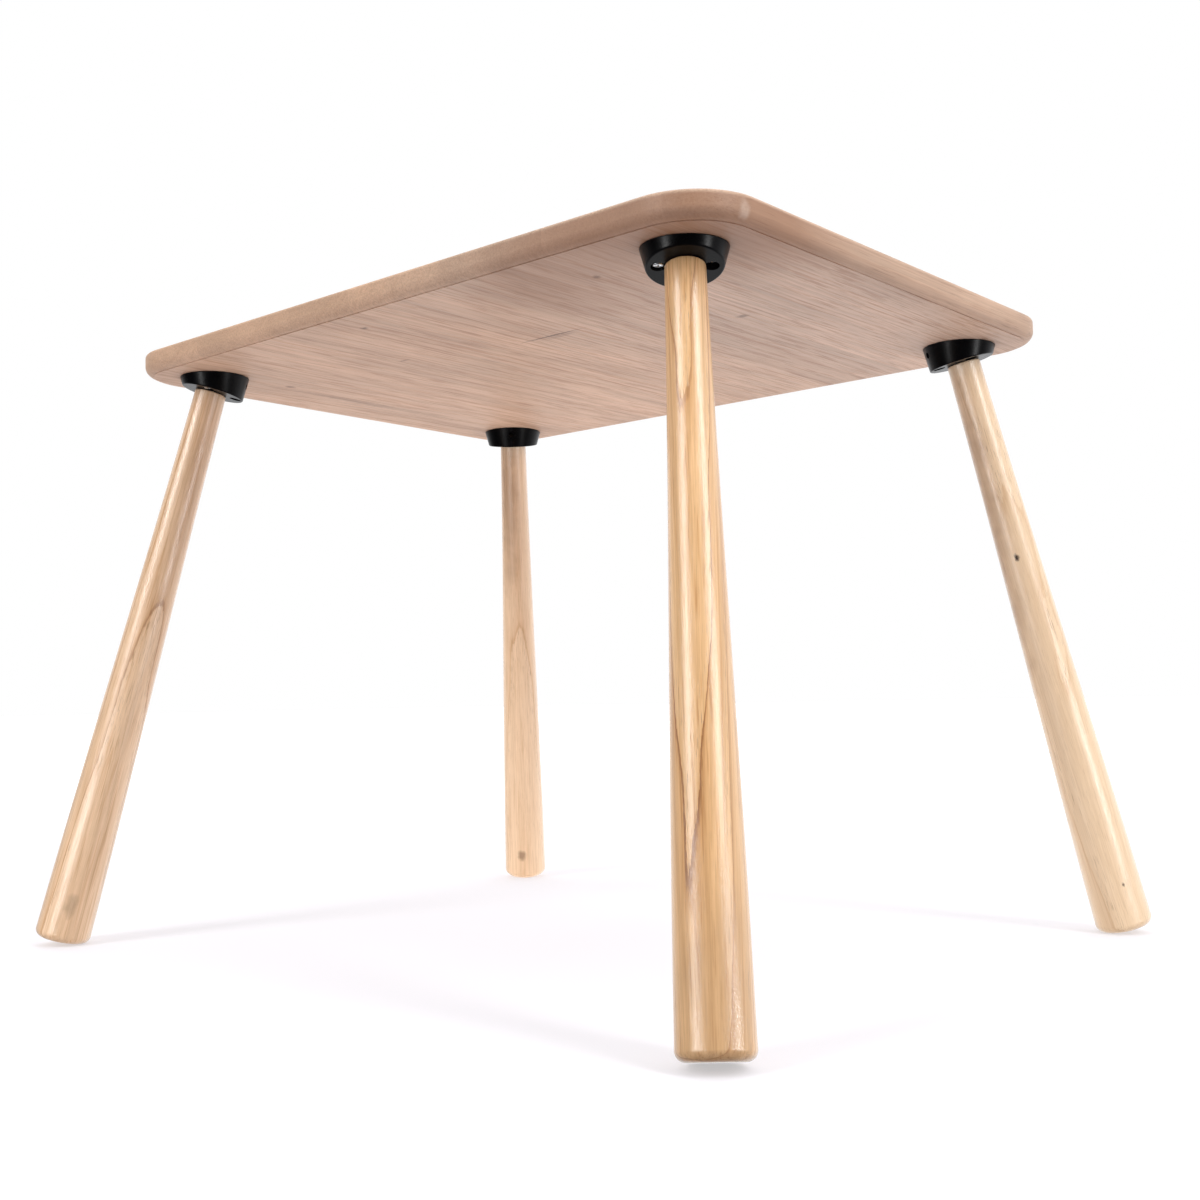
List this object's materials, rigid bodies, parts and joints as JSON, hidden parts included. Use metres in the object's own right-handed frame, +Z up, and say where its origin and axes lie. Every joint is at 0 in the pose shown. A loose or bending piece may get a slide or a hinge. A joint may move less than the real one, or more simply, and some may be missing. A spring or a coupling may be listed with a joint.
{
  "type": "children's table",
  "caption": "Low rectangular children's table: rounded wooden top on splayed tapered round legs that screw into black wedge-shaped plates.",
  "frame": {"origin": "on the floor, where the feet stand, under the middle of the top", "axes": "+X along the long side of the top, +Y along its short side, +Z up"},
  "size_m": [0.6838, 0.5646, 0.472],
  "materials": {
    "top_wood": "matt oiled, pinkish brown with a fine straight grain",
    "leg_wood": "clear satin lacquer on pale turned wood with brown growth lines",
    "plate_plastic": "black moulded plastic, semi-gloss",
    "screw_zinc": "bright zinc plate",
    "insert_brass": "machined",
    "bolt_steel": "zinc plate"
  },
  "bodies": {
    "table": {"tabletop": "top_wood", "leg_plate_front_right": "plate_plastic", "threaded_insert_front_right": "insert_brass", "plate_screw_inner_front_right": "screw_zinc", "plate_screw_left_front_right": "screw_zinc", "plate_screw_right_front_right": "screw_zinc", "leg_plate_front_left": "plate_plastic", "threaded_insert_front_left": "insert_brass", "plate_screw_inner_front_left": "screw_zinc", "plate_screw_left_front_left": "screw_zinc", "plate_screw_right_front_left": "screw_zinc", "leg_plate_back_right": "plate_plastic", "threaded_insert_back_right": "insert_brass", "plate_screw_inner_back_right": "screw_zinc", "plate_screw_left_back_right": "screw_zinc", "plate_screw_right_back_right": "screw_zinc", "leg_plate_back_left": "plate_plastic", "threaded_insert_back_left": "insert_brass", "plate_screw_inner_back_left": "screw_zinc", "plate_screw_left_back_left": "screw_zinc", "plate_screw_right_back_left": "screw_zinc"},
    "bolt_front_right": {"hanger_bolt_front_right": "bolt_steel"},
    "leg_front_right": {"leg_front_right": "leg_wood"},
    "bolt_front_left": {"hanger_bolt_front_left": "bolt_steel"},
    "leg_front_left": {"leg_front_left": "leg_wood"},
    "bolt_back_right": {"hanger_bolt_back_right": "bolt_steel"},
    "leg_back_right": {"leg_back_right": "leg_wood"},
    "bolt_back_left": {"hanger_bolt_back_left": "bolt_steel"},
    "leg_back_left": {"leg_back_left": "leg_wood"}
  },
  "joints": [
    {"name": "leg_travel_front_right", "type": "slide", "parent": "table", "child": "bolt_front_right", "axis": [0.1654, -0.1902, -0.9677], "range_m": [0, 0.01]},
    {"name": "leg_turn_front_right", "type": "hinge", "parent": "bolt_front_right", "child": "leg_front_right", "pos_m": [0.245, -0.174, 0.455], "axis": [0.1654, -0.1902, -0.9677], "range_deg": [0, 2880]},
    {"name": "leg_travel_front_left", "type": "slide", "parent": "table", "child": "bolt_front_left", "axis": [-0.1654, -0.1902, -0.9677], "range_m": [0, 0.01]},
    {"name": "leg_turn_front_left", "type": "hinge", "parent": "bolt_front_left", "child": "leg_front_left", "pos_m": [-0.245, -0.174, 0.455], "axis": [-0.1654, -0.1902, -0.9677], "range_deg": [0, 2880]},
    {"name": "leg_travel_back_right", "type": "slide", "parent": "table", "child": "bolt_back_right", "axis": [0.1654, 0.1902, -0.9677], "range_m": [0, 0.01]},
    {"name": "leg_turn_back_right", "type": "hinge", "parent": "bolt_back_right", "child": "leg_back_right", "pos_m": [0.245, 0.174, 0.455], "axis": [0.1654, 0.1902, -0.9677], "range_deg": [0, 2880]},
    {"name": "leg_travel_back_left", "type": "slide", "parent": "table", "child": "bolt_back_left", "axis": [-0.1654, 0.1902, -0.9677], "range_m": [0, 0.01]},
    {"name": "leg_turn_back_left", "type": "hinge", "parent": "bolt_back_left", "child": "leg_back_left", "pos_m": [-0.245, 0.174, 0.455], "axis": [-0.1654, 0.1902, -0.9677], "range_deg": [0, 2880]}
  ],
  "couplings": [
    {"joint": "leg_turn_front_right", "follows": "leg_travel_front_right", "rad_per_m": 5026.5},
    {"joint": "leg_turn_front_left", "follows": "leg_travel_front_left", "rad_per_m": 5026.5},
    {"joint": "leg_turn_back_right", "follows": "leg_travel_back_right", "rad_per_m": 5026.5},
    {"joint": "leg_turn_back_left", "follows": "leg_travel_back_left", "rad_per_m": 5026.5}
  ]
}
